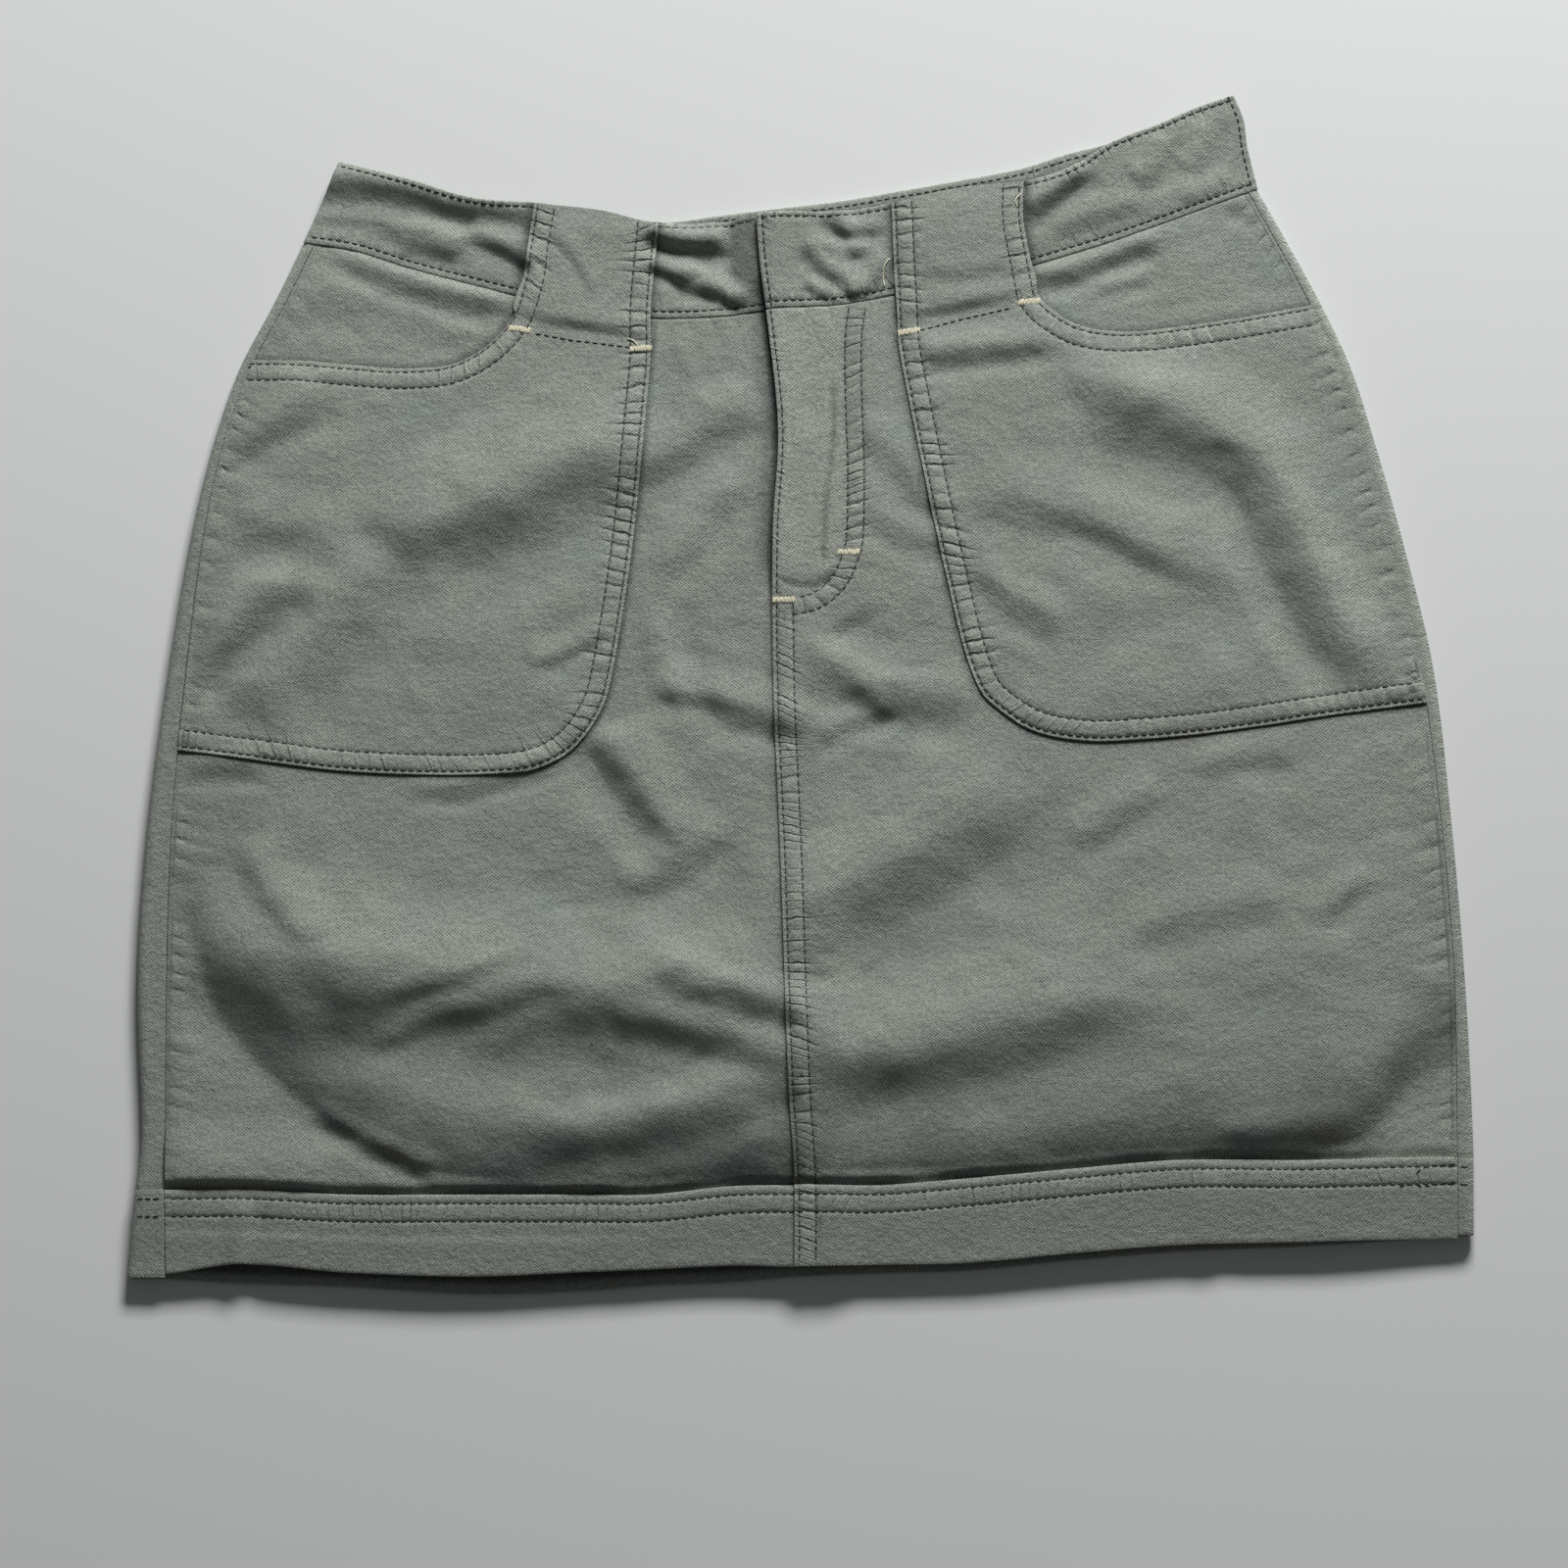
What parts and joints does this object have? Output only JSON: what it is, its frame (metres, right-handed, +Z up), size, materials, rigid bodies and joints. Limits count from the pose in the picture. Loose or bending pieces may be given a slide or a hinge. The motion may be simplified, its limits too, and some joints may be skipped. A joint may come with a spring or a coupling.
{
  "type": "cargo skort",
  "caption": "Short twill skirt with built-in shorts, laid flat front up, with large patch pockets whose tabs make belt tunnels",
  "frame": {"origin": "Middle of the skort's outline, on the surface it lies on", "axes": "+X runs across the skort to the viewer's right, +Y from the hem to the waist, +Z up out of the front"},
  "size_m": [0.506, 0.4636, 0.0177],
  "materials": {
    "twill": "washed grey-green cotton twill",
    "shorts": "plain matt cotton"
  },
  "bodies": {
    "root": {"back_panel": "twill", "front_panel_left": "twill", "front_panel_right": "twill", "pocket_left": "twill", "pocket_right": "twill", "waistband_back": "twill", "waistband_front_left": "twill", "waistband_front_right": "twill", "hem_band_back": "twill", "hem_band_side_left": "twill", "hem_band_side_right": "twill", "hem_band_front_left": "twill", "hem_band_front_right": "twill", "shorts_back": "shorts", "shorts_front": "shorts"}
  },
  "joints": []
}
